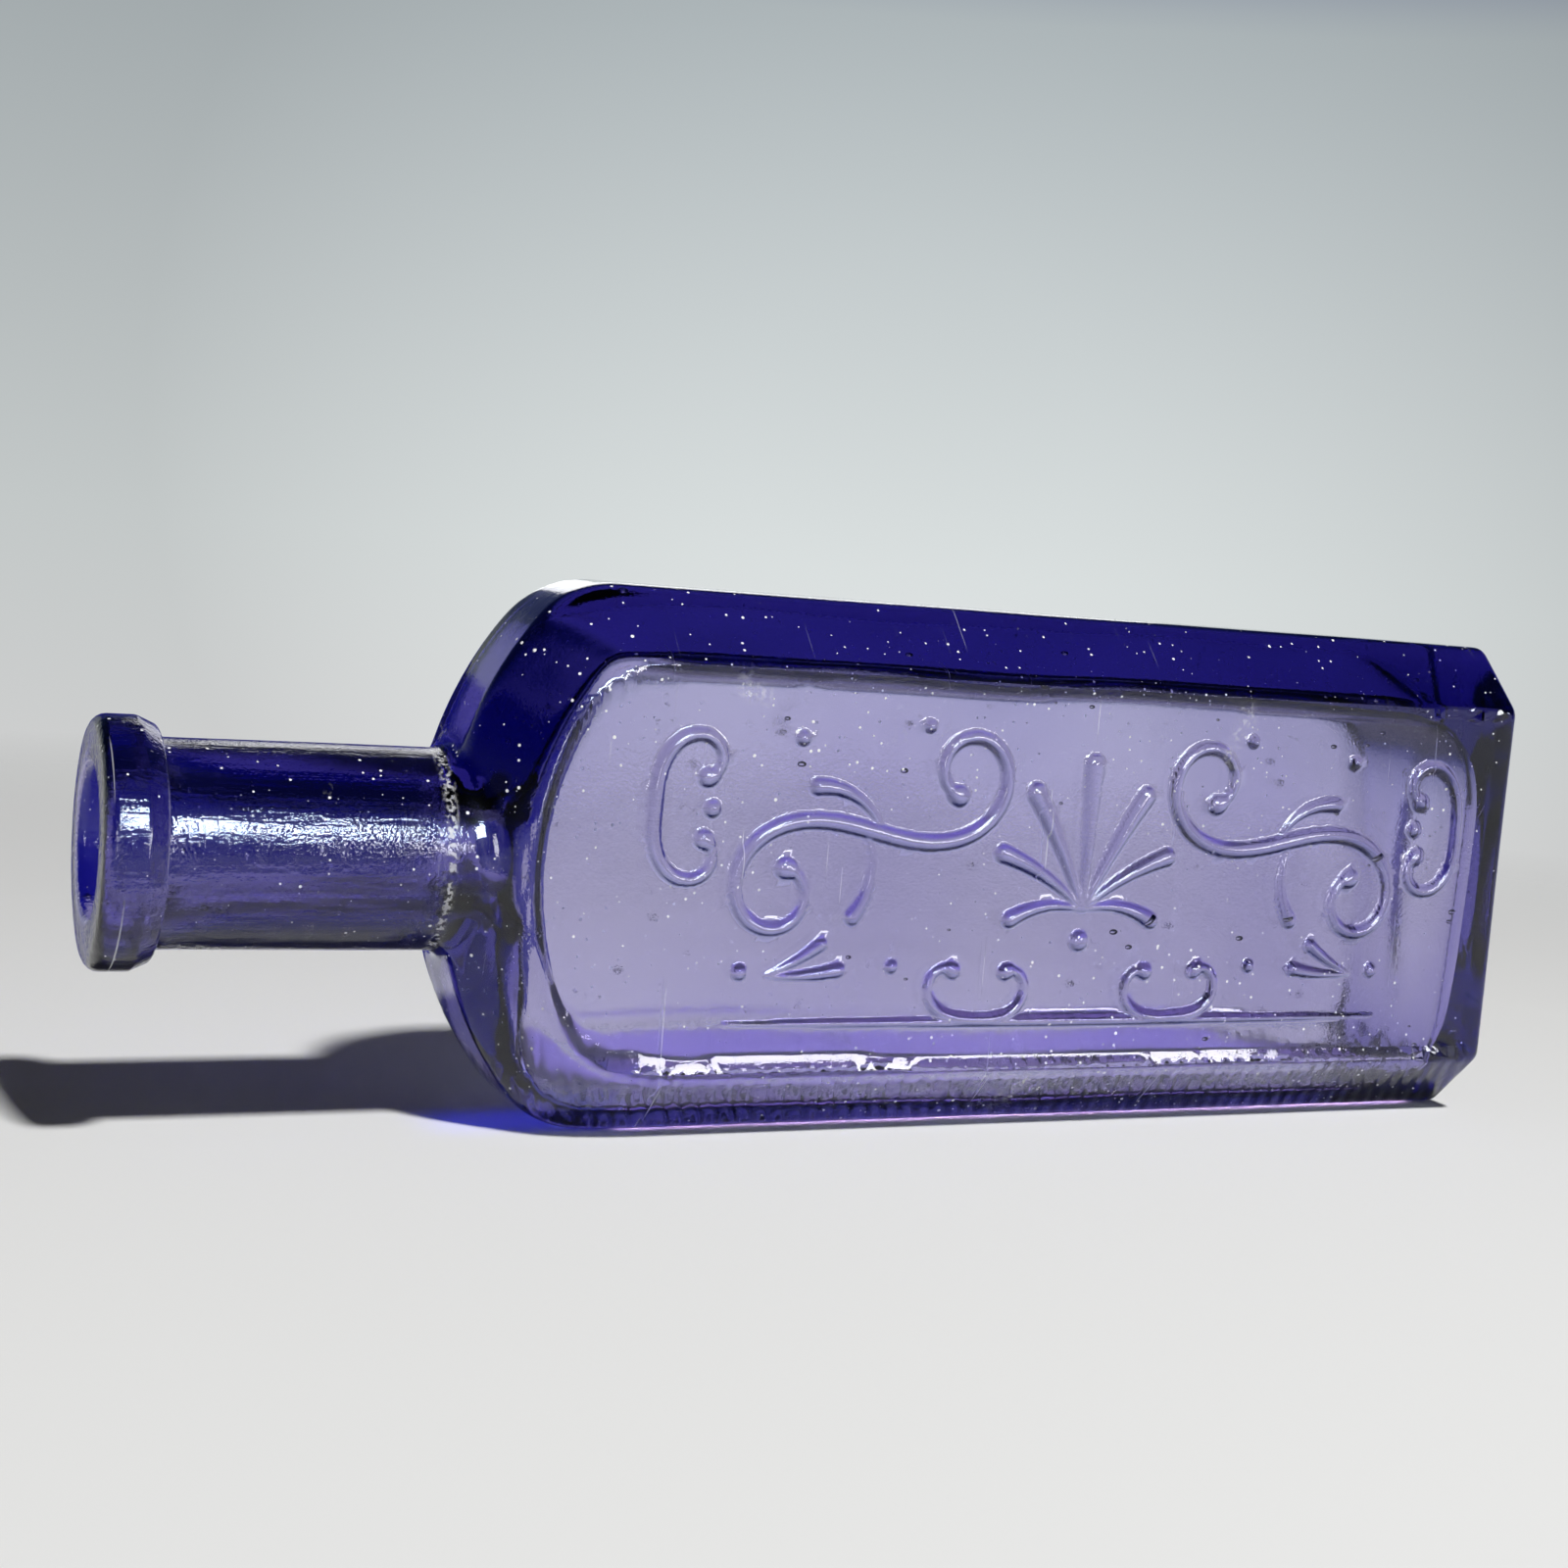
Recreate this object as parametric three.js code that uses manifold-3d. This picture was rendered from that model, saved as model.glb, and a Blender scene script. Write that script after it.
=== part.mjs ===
// An oblong panelled glass bottle of the kind hair tonic was sold in: a mould-blown body with flat
// panels, wide bevelled edges and an arched shoulder, and a banded lip laid on the end of its neck.
// Each piece is modelled standing on its base, then the whole bottle is laid on one narrow side.

import * as THREE from 'three';
import { mergeVertices } from 'three/addons/utils/BufferGeometryUtils.js';
import Module from 'manifold-3d';

// Driving dimensions, in millimetres and degrees

// Body: the height of its straight walls, its plan, and the flat bevel along its long edges
const WALL_HEIGHT = 119.2;
const BODY_WIDTH = 60;
const BODY_DEPTH = 27;
const BEVEL_WIDTH = 7.6;
const BEVEL_DEPTH = 7.3;

// Base: a rounded heel, and a shallow dish cut by a flattened ball that lies mostly below it
const HEEL_RADIUS = 2;
const DISH_WIDTH = 40;
const DISH_DEPTH = 13;
const DISH_RISE = 1.2;
const DISH_BALL_SINK = 4;

// Shoulder: the top corners of the flat panel, and how far round they turn before the arch begins
const PANEL_CORNER_RADIUS = 3.9;
const CORNER_TURN = 52;

// Neck, from the top of the arch to the face of the lip
const NECK_LENGTH = 35;
const NECK_WALL = 3.25;
const BORE_DIAMETER = 15.3;

// Throat: how far the bore widens towards the hollow, over what height, and how deep it reaches in
const THROAT_FLARE = 1.7;
const THROAT_HEIGHT = 9;
const THROAT_REACH = 4.4;

// Lip: a band, a taper below it that ends in a thin skirt, and the crown that covers the neck's end
const LIP_OVERHANG = 2.2;
const LIP_BAND = 4.2;
const LIP_TAPER = 2;
const LIP_SKIRT = 0.9;
const LIP_CROWN = 2.6;
const LIP_ROUND = 1.2;
const MOUTH_ROUND = 0.7;
const LIP_CLEARANCE = 0.3;

// Glass: thickness of the walls and the base, and the rounding of the hollow inside
const WALL = 3.2;
const BASE_THICKNESS = 6;
const HOLLOW_EDGE_WIDTH = 7.5;
const HOLLOW_EDGE_DEPTH = 9;
const HOLLOW_FLOOR_CORNER = 1.5;
const HOLLOW_LEAST_FLAT = 0.5;

// Facets
const ROUND_SEGMENTS = 64;
const ARC_SEGMENTS = 12;
const ARCH_SEGMENTS = 20;
const EDGE_SEGMENTS = 4;
const FILLET_SEGMENTS = 5;

// How far a cutting shape runs past the surface it cuts
const OVERRUN = 5;

// Sizes that follow from these. The shoulder is a three-centred arch: a corner arc on each side, and
// one wide arc, centred on the bottle's axis, that meets both of them smoothly.
const QUARTER = Math.PI / 2;
const HALF = Math.PI;
const CORNER_RADIUS = PANEL_CORNER_RADIUS + BEVEL_WIDTH;
const CORNER_X = BODY_WIDTH / 2 - CORNER_RADIUS;
const TURN = THREE.MathUtils.degToRad(CORNER_TURN);
const ARCH_RADIUS = CORNER_RADIUS + CORNER_X / Math.cos(TURN);
const ARCH_CENTRE = WALL_HEIGHT - CORNER_X * Math.tan(TURN);
const ARCH_TOP = ARCH_CENTRE + ARCH_RADIUS;
const TOTAL_HEIGHT = ARCH_TOP + NECK_LENGTH;
const BORE_RADIUS = BORE_DIAMETER / 2;
const NECK_RADIUS = BORE_RADIUS + NECK_WALL;
const CROWN_BOTTOM = TOTAL_HEIGHT - LIP_CROWN;

const wasm = await Module();
wasm.setup();

// Turns a closed three.js geometry into a solid that can be joined and cut.
function toSolid(geometry) {
  geometry.deleteAttribute('normal');
  geometry.deleteAttribute('uv');
  const merged = mergeVertices(geometry);
  const vertProperties = new Float32Array(merged.attributes.position.array);
  const triVerts = new Uint32Array(merged.index.array);
  return new wasm.Manifold(new wasm.Mesh({ numProp: 3, vertProperties, triVerts }));
}

// Turns a finished solid back into a three.js geometry.
function toGeometry(solid) {
  const { vertProperties, triVerts } = solid.getMesh();
  const geometry = new THREE.BufferGeometry();
  geometry.setAttribute('position', new THREE.BufferAttribute(vertProperties, 3));
  geometry.setIndex(new THREE.BufferAttribute(triVerts, 1));
  geometry.computeVertexNormals();
  return geometry;
}

// Points along an arc, both ends included. Angles are counted from the first axis of its plane.
function arcPoints(centreX, centreY, radius, from, to, segments) {
  const points = [];
  for (let i = 0; i <= segments; i += 1) {
    const angle = from + ((to - from) * i) / segments;
    const x = centreX + radius * Math.cos(angle);
    const y = centreY + radius * Math.sin(angle);
    points.push(new THREE.Vector2(x, y));
  }
  return points;
}

// The front view of the body, drawn in width and height, with its walls moved in by an inset.
// The bottom edge lies at the given height, with its two corners rounded. The ends of the wide arch
// are left to the corner arcs that it meets.
function frontOutline(inset, bottom, bottomRadius) {
  const corner = CORNER_RADIUS - inset;
  const arch = ARCH_RADIUS - inset;
  const floorX = BODY_WIDTH / 2 - inset - bottomRadius;
  const floorY = bottom + bottomRadius;
  const points = [
    ...arcPoints(floorX, floorY, bottomRadius, -QUARTER, 0, ARC_SEGMENTS),
    ...arcPoints(CORNER_X, WALL_HEIGHT, corner, 0, TURN, ARC_SEGMENTS),
    ...arcPoints(0, ARCH_CENTRE, arch, TURN, HALF - TURN, ARCH_SEGMENTS).slice(1, -1),
    ...arcPoints(-CORNER_X, WALL_HEIGHT, corner, HALF - TURN, HALF, ARC_SEGMENTS),
    ...arcPoints(-floorX, floorY, bottomRadius, HALF, HALF + QUARTER, ARC_SEGMENTS),
  ];
  return new THREE.Shape(points);
}

// Gives a front view its depth. Both long edges are cut back by edgeWidth across the face and by
// edgeDepth through the depth, in one flat bevel or in several steps of a rounding.
function throughDepth(shape, depth, edgeWidth, edgeDepth, edgeSteps) {
  const geometry = new THREE.ExtrudeGeometry(shape, {
    depth: depth - 2 * edgeDepth,
    bevelThickness: edgeDepth,
    bevelSize: edgeWidth,
    bevelOffset: -edgeWidth,
    bevelSegments: edgeSteps,
  });
  geometry.translate(0, 0, edgeDepth - depth / 2);
  geometry.rotateX(QUARTER);
  return toSolid(geometry);
}

// The plan of the body, eight-sided, rising from the base with a rounded heel. Above the heel it
// stands a little outside the body, so that it only shapes the base.
function heelEnvelope() {
  const clear = HEEL_RADIUS / 4;
  const halfWidth = BODY_WIDTH / 2;
  const halfDepth = BODY_DEPTH / 2;
  const panel = halfWidth - BEVEL_WIDTH;
  const flat = halfDepth - BEVEL_DEPTH;
  const shape = new THREE.Shape();
  shape.moveTo(halfWidth, -flat);
  shape.lineTo(halfWidth, flat);
  shape.lineTo(panel, halfDepth);
  shape.lineTo(-panel, halfDepth);
  shape.lineTo(-halfWidth, flat);
  shape.lineTo(-halfWidth, -flat);
  shape.lineTo(-panel, -halfDepth);
  shape.lineTo(panel, -halfDepth);
  const geometry = new THREE.ExtrudeGeometry(shape, {
    depth: TOTAL_HEIGHT,
    bevelThickness: HEEL_RADIUS + clear,
    bevelSize: HEEL_RADIUS + clear,
    bevelOffset: -HEEL_RADIUS,
    bevelSegments: EDGE_SEGMENTS,
  });
  geometry.translate(0, 0, HEEL_RADIUS + clear);
  return toSolid(geometry);
}

// The shallow dish in the base, which leaves a rim for the bottle to stand on. It is the cap of a
// flattened ball whose centre lies below the base.
function baseDish() {
  const ballHeight = DISH_BALL_SINK + DISH_RISE;
  const rim = Math.sqrt(1 - (DISH_BALL_SINK / ballHeight) ** 2);
  const geometry = new THREE.SphereGeometry(1, ROUND_SEGMENTS / 2, ROUND_SEGMENTS / 2);
  geometry.scale(DISH_WIDTH / 2 / rim, DISH_DEPTH / 2 / rim, ballHeight);
  geometry.translate(0, 0, -DISH_BALL_SINK);
  return toSolid(geometry);
}

// Revolves a profile of radius and height points about the bottle's axis. The profile closes on
// itself, or starts and ends on the axis.
function revolve(points) {
  const geometry = new THREE.LatheGeometry(points, ROUND_SEGMENTS);
  geometry.rotateX(QUARTER);
  return toSolid(geometry);
}

// A solid round post on the bottle's axis.
function post(radius, bottom, top) {
  return revolve([
    new THREE.Vector2(0, bottom),
    new THREE.Vector2(radius, bottom),
    new THREE.Vector2(radius, top),
    new THREE.Vector2(0, top),
  ]);
}

// The hollow of the body. Its edges are rounded, because the glass is blown against the mould, and
// the rounding is never larger than the wall leaves room for.
function hollow() {
  const depth = BODY_DEPTH - 2 * WALL;
  const edgeWidth = Math.min(HOLLOW_EDGE_WIDTH, CORNER_RADIUS - WALL - HOLLOW_LEAST_FLAT);
  const edgeDepth = Math.min(HOLLOW_EDGE_DEPTH, depth / 2 - HOLLOW_LEAST_FLAT);
  const outline = frontOutline(WALL, BASE_THICKNESS, edgeWidth + HOLLOW_FLOOR_CORNER);
  return throughDepth(outline, depth, edgeWidth, edgeDepth, EDGE_SEGMENTS);
}

// The bore, from above the mouth down into the hollow, which it meets in a throat that widens a little.
function boreAndThroat() {
  const throatBottom = ARCH_TOP - WALL - THROAT_REACH;
  return revolve([
    new THREE.Vector2(0, throatBottom),
    new THREE.Vector2(BORE_RADIUS + THROAT_FLARE, throatBottom),
    new THREE.Vector2(BORE_RADIUS, throatBottom + THROAT_HEIGHT),
    new THREE.Vector2(BORE_RADIUS, TOTAL_HEIGHT + OVERRUN),
    new THREE.Vector2(0, TOTAL_HEIGHT + OVERRUN),
  ]);
}

// The blown body: a bevelled block with a rounded heel and a dished base, with the neck rising out
// of its shoulder, hollowed through the bore.
function bottleBody() {
  const below = -BEVEL_WIDTH - PANEL_CORNER_RADIUS - OVERRUN;
  const outline = frontOutline(0, below, CORNER_RADIUS);
  const block = throughDepth(outline, BODY_DEPTH, BEVEL_WIDTH, BEVEL_DEPTH, 1);
  const neck = post(NECK_RADIUS, WALL_HEIGHT, CROWN_BOTTOM - LIP_CLEARANCE);
  const outside = block.intersect(heelEnvelope()).subtract(baseDish()).add(neck);
  return toGeometry(outside.subtract(hollow().add(boreAndThroat())));
}

// The lip: a ring whose socket fits over the end of the neck and whose crown lies on top of it.
// Outside, a plain band with a rounded upper edge slopes in to a skirt that ends on the neck.
function appliedLip() {
  const top = TOTAL_HEIGHT;
  const bandBottom = top - LIP_BAND;
  const skirtBottom = bandBottom - LIP_TAPER;
  const socket = NECK_RADIUS + LIP_CLEARANCE;
  const outer = NECK_RADIUS + LIP_OVERHANG;
  const edge = outer - LIP_ROUND;
  const mouth = BORE_RADIUS + MOUTH_ROUND;
  return toGeometry(revolve([
    new THREE.Vector2(socket, skirtBottom),
    new THREE.Vector2(socket + LIP_SKIRT, skirtBottom),
    new THREE.Vector2(outer, bandBottom),
    ...arcPoints(edge, top - LIP_ROUND, LIP_ROUND, 0, QUARTER, FILLET_SEGMENTS),
    ...arcPoints(mouth, top - MOUTH_ROUND, MOUTH_ROUND, QUARTER, HALF, FILLET_SEGMENTS),
    new THREE.Vector2(BORE_RADIUS, CROWN_BOTTOM),
    new THREE.Vector2(socket, CROWN_BOTTOM),
    new THREE.Vector2(socket, skirtBottom),
  ]));
}

// One subcomponent: a named mesh with its own glass material.
function piece(name, geometry, color) {
  const material = new THREE.MeshStandardMaterial({ color, roughness: 0.06, metalness: 0 });
  const mesh = new THREE.Mesh(geometry, material);
  mesh.name = name;
  return mesh;
}

const standing = new THREE.Group();
standing.add(piece('bottle_body', bottleBody(), 0x3a3aa8));
standing.add(piece('applied_lip', appliedLip(), 0x2c2c96));

// Laid down: the base faces +X, the mouth -X and the front panel -Y, and it rests on a narrow side.
standing.rotation.y = -QUARTER;
standing.position.set(TOTAL_HEIGHT / 2, 0, BODY_WIDTH / 2);

const bottle = new THREE.Group();
bottle.add(standing);

export default bottle;
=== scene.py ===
# %% [markdown]
# # A cobalt-blue panel bottle
#
# The object is a small glass bottle that was blown into a mould and finished by hand. It lies empty on one
# narrow side with its mouth to the left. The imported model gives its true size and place. This lesson puts
# real glass in that place: one closed skin that goes up the outside, over the lip and down the inside, so
# that light bends and darkens in the walls as it does in the real bottle.

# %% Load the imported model
import math

import bmesh
import bpy
import numpy as np
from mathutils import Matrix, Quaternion, Vector


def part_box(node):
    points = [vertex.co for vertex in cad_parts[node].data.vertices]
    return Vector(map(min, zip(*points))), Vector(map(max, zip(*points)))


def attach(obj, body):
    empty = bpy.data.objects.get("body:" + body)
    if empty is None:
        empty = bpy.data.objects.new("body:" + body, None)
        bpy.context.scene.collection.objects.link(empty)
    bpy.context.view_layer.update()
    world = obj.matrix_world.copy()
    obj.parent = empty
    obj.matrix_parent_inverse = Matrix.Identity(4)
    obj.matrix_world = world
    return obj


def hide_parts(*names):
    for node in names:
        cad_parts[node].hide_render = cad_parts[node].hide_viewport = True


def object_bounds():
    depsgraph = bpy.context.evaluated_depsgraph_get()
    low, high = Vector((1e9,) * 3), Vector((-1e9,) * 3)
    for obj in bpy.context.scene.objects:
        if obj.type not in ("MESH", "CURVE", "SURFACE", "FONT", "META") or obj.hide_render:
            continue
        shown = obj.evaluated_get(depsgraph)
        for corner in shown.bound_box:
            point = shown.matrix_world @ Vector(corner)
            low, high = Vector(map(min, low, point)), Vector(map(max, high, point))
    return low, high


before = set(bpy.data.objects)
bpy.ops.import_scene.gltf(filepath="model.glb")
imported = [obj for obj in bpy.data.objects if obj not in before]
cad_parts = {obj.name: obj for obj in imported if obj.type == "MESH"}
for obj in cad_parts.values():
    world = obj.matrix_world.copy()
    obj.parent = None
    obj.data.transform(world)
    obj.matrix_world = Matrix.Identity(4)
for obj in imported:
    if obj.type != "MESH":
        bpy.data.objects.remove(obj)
cad_low, cad_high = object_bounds()
print("CAD box in metres:", [round(value, 4) for value in (*cad_low, *cad_high)])

# %% [markdown]
# ## The camera
#
# Glass shows what lies behind it, so the view is settled before anything else. A camera close to the mouth
# makes the neck look large and the base small. Its place, turn and lens were fitted to the edges of the
# bottle in the photograph, and they are written here as plain sizes.

# %% Place the camera
CAMERA_PLACE = (-0.11686, -0.23015, 0.06347)
CAMERA_AZIMUTH = -25.02
CAMERA_ELEVATION = 5.65
CAMERA_ROLL = 4.69
CAMERA_LENS = 51.1


def place_camera():
    azimuth = math.radians(CAMERA_AZIMUTH)
    elevation = math.radians(CAMERA_ELEVATION)
    level = math.cos(elevation)
    forward = Vector((-math.sin(azimuth) * level, math.cos(azimuth) * level, -math.sin(elevation)))
    camera = bpy.data.objects.new("camera", bpy.data.cameras.new("camera"))
    camera.data.lens = CAMERA_LENS
    camera.data.clip_start = 0.01
    camera.location = CAMERA_PLACE
    camera.rotation_mode = "QUATERNION"
    turn = forward.to_track_quat("-Z", "Y")
    camera.rotation_quaternion = turn @ Quaternion((0, 0, 1), math.radians(CAMERA_ROLL))
    bpy.context.scene.collection.objects.link(camera)
    bpy.context.scene.camera = camera
    return camera


camera = place_camera()
print("camera at", tuple(round(value, 3) for value in camera.location))

# %% [markdown]
# ## Sizes
#
# The shape is worked out in millimetres, in the bottle's own directions: a height from the base up to the
# mouth, a width across the panel and a depth from back to front. The overall sizes come from the packed
# model. The others repeat the driving sizes of its solids.

# %% Name the sizes
MM = 0.001
lip_low, lip_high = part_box("applied_lip")
HEIGHT = (cad_high.x - cad_low.x) / MM
WIDTH = (cad_high.z - cad_low.z) / MM
DEPTH = (cad_high.y - cad_low.y) / MM
LIP_RADIUS = (lip_high.y - lip_low.y) / 2 / MM
LIP_BOTTOM = (cad_high.x - lip_high.x) / MM

BEVEL_WIDTH = 7.6
BEVEL_DEPTH = 7.3
WALL_HEIGHT = 119.2
CORNER_RADIUS = 11.5
CORNER_TURN = math.radians(52)
NECK_RADIUS = 10.9
BORE_RADIUS = 7.65

CORNER_PLACE = WIDTH / 2 - CORNER_RADIUS
ARCH_RADIUS = CORNER_RADIUS + CORNER_PLACE / math.cos(CORNER_TURN)
ARCH_CENTRE = WALL_HEIGHT - CORNER_PLACE * math.tan(CORNER_TURN)
RELIEF = 0.8
FRONT_LEVEL = DEPTH / 2 - RELIEF
print("bottle", round(HEIGHT, 1), "by", round(WIDTH, 1), "by", round(DEPTH, 1), "mm")

# %% [markdown]
# ## The outside as a rule
#
# Blown glass has no sharp edge: every face runs into the next through a small rounding. A bevel modifier
# could round a faceted block, but the bevel also has to follow the arched shoulder and run into a round
# neck. So the outside is written as a rule, a number that is negative inside the glass and zero on its skin.
# Flat faces are joined by a smooth maximum, which rounds the edge between them, and the neck grows out of
# the shoulder through a smooth minimum, which leaves a small hollow fillet. The front panel is sunk inside a
# narrow rim, which keeps its ornament from rubbing on other bottles.

# %% Write the outside
PANEL_CORNER = 6
RIM_WIDTH = 0.4
RIM_SLOPE = 0.8
PANEL_EDGE = 0.6
SIDE_EDGE = 0.8
HEEL_EDGE = 1.4
NECK_FOOT = 1.6
NECK_ROOT = 100
DISH_HALF_WIDTH = 20
DISH_HALF_DEPTH = 6.5
DISH_RISE = 1.2
SKIN_WAVE = 0.05


def smooth_max(one, other, blend):
    share = np.clip(0.5 + 0.5 * (one - other) / blend, 0, 1)
    return other + (one - other) * share + blend * share * (1 - share)


def smooth_min(one, other, blend):
    return -smooth_max(-one, -other, blend)


def outline(height, width):
    """Distance from the front view's edge: straight walls, a corner arc on each side and one wide arch."""
    across = np.abs(width)
    wall = across - WIDTH / 2
    corner = np.hypot(across - CORNER_PLACE, height - WALL_HEIGHT) - CORNER_RADIUS
    arch = np.hypot(across, height - ARCH_CENTRE) - ARCH_RADIUS
    over_arch = np.arctan2(height - ARCH_CENTRE, across) > CORNER_TURN
    return np.where(over_arch, arch, np.where(height > WALL_HEIGHT, corner, wall))


def slow_wave(height, width, depth):
    """A gentle unevenness, from -1 to 1, with no two stretches alike."""
    first = np.sin(height / 8.7 + width / 21 + 0.6)
    second = np.sin(width / 6.1 - height / 27 + depth / 9 + 1.9)
    third = np.sin(height / 4.6 - width / 11 + depth / 5 + 4.1)
    return (first + 0.8 * second + 0.5 * third) / 2.3


def panel_outline(height, width):
    """The front view's edge with rounder corners, which the panels follow."""
    wall = np.abs(width) - WIDTH / 2
    arch = np.hypot(width, np.maximum(height - ARCH_CENTRE, 0)) - ARCH_RADIUS
    return smooth_max(wall, arch, PANEL_CORNER)


def bevel_face(height, width, depth):
    """Distance from the sloping faces along the edges of both panels."""
    outwards = np.abs(depth) - DEPTH / 2 + BEVEL_DEPTH
    slope = BEVEL_DEPTH * panel_outline(height, width) + BEVEL_WIDTH * outwards
    return slope / math.hypot(BEVEL_DEPTH, BEVEL_WIDTH)


def sunk(height, width):
    """How far the front panel lies below the narrow rim that runs round it."""
    inset = np.minimum(-panel_outline(height, width) - BEVEL_WIDTH, height - HEEL_EDGE)
    share = np.clip((inset - RIM_WIDTH) / RIM_SLOPE, 0, 1)
    return RELIEF * share * share * (3 - 2 * share)


def outside(height, width, depth):
    edge = outline(height, width)
    face = np.where(depth < 0, sunk(height, width) - depth, depth) - DEPTH / 2
    bevelled = smooth_max(face, bevel_face(height, width, depth), PANEL_EDGE)
    walls = smooth_max(bevelled, edge, SIDE_EDGE)
    bowl = 1 - (width / DISH_HALF_WIDTH) ** 2 - (depth / DISH_HALF_DEPTH) ** 2
    base = DISH_RISE * np.clip(bowl, 0, 1) - height
    body = smooth_max(walls, base, HEEL_EDGE)
    neck = np.maximum(np.hypot(width, depth) - NECK_RADIUS, NECK_ROOT - height)
    wave = SKIN_WAVE * (1 + slow_wave(height, width, depth))
    return smooth_min(body, neck, NECK_FOOT) + wave


print("the front panel lies", RELIEF, "mm below its rim")

# %% [markdown]
# ## The inside as a rule
#
# The hollow follows the mould only loosely, because no tool ever touched it: air pressed the soft glass out,
# and the glass settled unevenly before it set. The panels and the side that the bottle lies on are thin, the
# upper side, the shoulder and the neck are thick, and the surface is wavy. Behind each bevel the hollow has
# a bevel of its own. Light that enters thick glass through a bevel is caught between the two skins, and
# comes out navy or not at all.

# %% Write the inside
PANEL_GLASS = 2.6
UPPER_GLASS = 8
LOWER_GLASS = 3.4
THIN_BELOW, THICK_ABOVE = -24, -6
BASE_GLASS = 3.5
BEVEL_GLASS = 2
BEVEL_ROUND = 0.8
INNER_ROUND = 1.8
INNER_CORNER = 14
INNER_NECK = 5
BORE_TAPER = 2.6
INNER_WAVE = 0.4
WAVE_SHIFT = (40, -13, 3)


def side_glass(width):
    """Thickness at the narrow sides and the shoulder: the side that the bottle lies on is the thin one."""
    share = np.clip((width - THIN_BELOW) / (THICK_ABOVE - THIN_BELOW), 0, 1)
    return LOWER_GLASS + (UPPER_GLASS - LOWER_GLASS) * share * share * (3 - 2 * share)


def inside(height, width, depth):
    edge = outline(height, width)
    panels = np.abs(depth) - DEPTH / 2 + PANEL_GLASS
    rim = smooth_max(edge + side_glass(width), BASE_GLASS - height, INNER_CORNER)
    bevel = bevel_face(height, width, depth) + BEVEL_GLASS
    hollow = smooth_max(smooth_max(panels, rim, INNER_ROUND), bevel, BEVEL_ROUND)
    away_from_mouth = np.clip((HEIGHT - height) / 60, 0, 1)
    radius = BORE_RADIUS - BORE_TAPER * np.clip(4 * away_from_mouth, 0, 1)
    bore = np.maximum(np.hypot(width, depth) - radius, NECK_ROOT - height)
    shifted = (height + WAVE_SHIFT[0], width + WAVE_SHIFT[1], depth + WAVE_SHIFT[2])
    wave = INNER_WAVE * away_from_mouth * slow_wave(*shifted)
    return smooth_min(hollow, bore, INNER_NECK) + wave


print("glass at the narrow sides from", LOWER_GLASS, "to", UPPER_GLASS, "mm")


# %% [markdown]
# ## From the rule to rings of points
#
# A ring of points is found by walking outwards from the bottle's axis, in many directions, until the rule
# changes sign. Halving the step each time finds the skin quickly, and all rings use the same directions, so
# neighbouring rings join into neat four-sided faces that follow the bottle. More directions are spent where
# the edges of the body are.

# %% Find the skin along rays
COLUMNS = 200
HALVINGS = 44
REACH = 90
SECTION_HEIGHT = 60
EDGE_SPREAD = 1.1
EDGE_WEIGHT = 1.6


def walk_out(rule, start, heading):
    """Points where rays that start on the axis leave the rule's negative side."""
    length = np.sqrt((heading ** 2).sum(-1, keepdims=True))
    step = heading / length
    near = np.zeros(step.shape[:-1])
    far = np.full(step.shape[:-1], float(REACH))
    origin = np.zeros(step.shape)
    origin[..., 0] = start
    for _ in range(HALVINGS):
        middle = (near + far) / 2
        point = origin + middle[..., None] * step
        still_in = rule(point[..., 0], point[..., 1], point[..., 2]) < 0
        near = np.where(still_in, middle, near)
        far = np.where(still_in, far, middle)
    return origin + near[..., None] * step


def level_ring(rule, height, angles):
    heading = np.stack([np.zeros_like(angles), np.cos(angles), np.sin(angles)], -1)
    return walk_out(rule, height, heading)


def column_angles():
    """Directions round the axis, closer together at the eight long edges of the body."""
    fine = np.linspace(0, 2 * math.pi, 7201)
    ring = level_ring(outside, SECTION_HEIGHT, fine)
    across, depth = np.abs(ring[:, 1]), np.abs(ring[:, 2])
    to_panel_edge = np.hypot(across - WIDTH / 2 + BEVEL_WIDTH, depth - DEPTH / 2)
    to_side_edge = np.hypot(across - WIDTH / 2, depth - DEPTH / 2 + BEVEL_DEPTH)
    nearest = np.minimum(to_panel_edge, to_side_edge)
    weight = 1 + EDGE_WEIGHT * np.exp(-(nearest / EDGE_SPREAD) ** 2)
    stretch = np.sqrt((np.diff(ring, axis=0) ** 2).sum(-1)) * (weight[1:] + weight[:-1]) / 2
    travelled = np.concatenate([[0], np.cumsum(stretch)])
    stops = np.arange(COLUMNS) * travelled[-1] / COLUMNS
    return np.interp(stops, travelled, fine)


ANGLES = column_angles()
print(COLUMNS, "directions, the widest step", round(math.degrees(np.diff(ANGLES).max()), 2), "degrees")

# %% [markdown]
# ## Rings of the outside
#
# Up the walls the rays are level. Below, they fan out from one point on the axis, aimed at the base and then
# at the heel, so that the rounding of the heel gets its own rings all the way round.

# %% Stack the outer rings
FAN_HEIGHT = 14
SHOULDER_START = 108
NECK_START = 138.2


def fan_rings(rule, start, targets, section):
    """Rings aimed from one point on the axis at heights and shares of a section's radius."""
    rings = []
    radius = np.hypot(section[:, 1], section[:, 2])
    for height, share in targets:
        rise = np.full_like(ANGLES, height - start)
        heading = np.stack([rise, share * radius * np.cos(ANGLES), share * radius * np.sin(ANGLES)], -1)
        rings.append(walk_out(rule, start, heading))
    return rings


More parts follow.
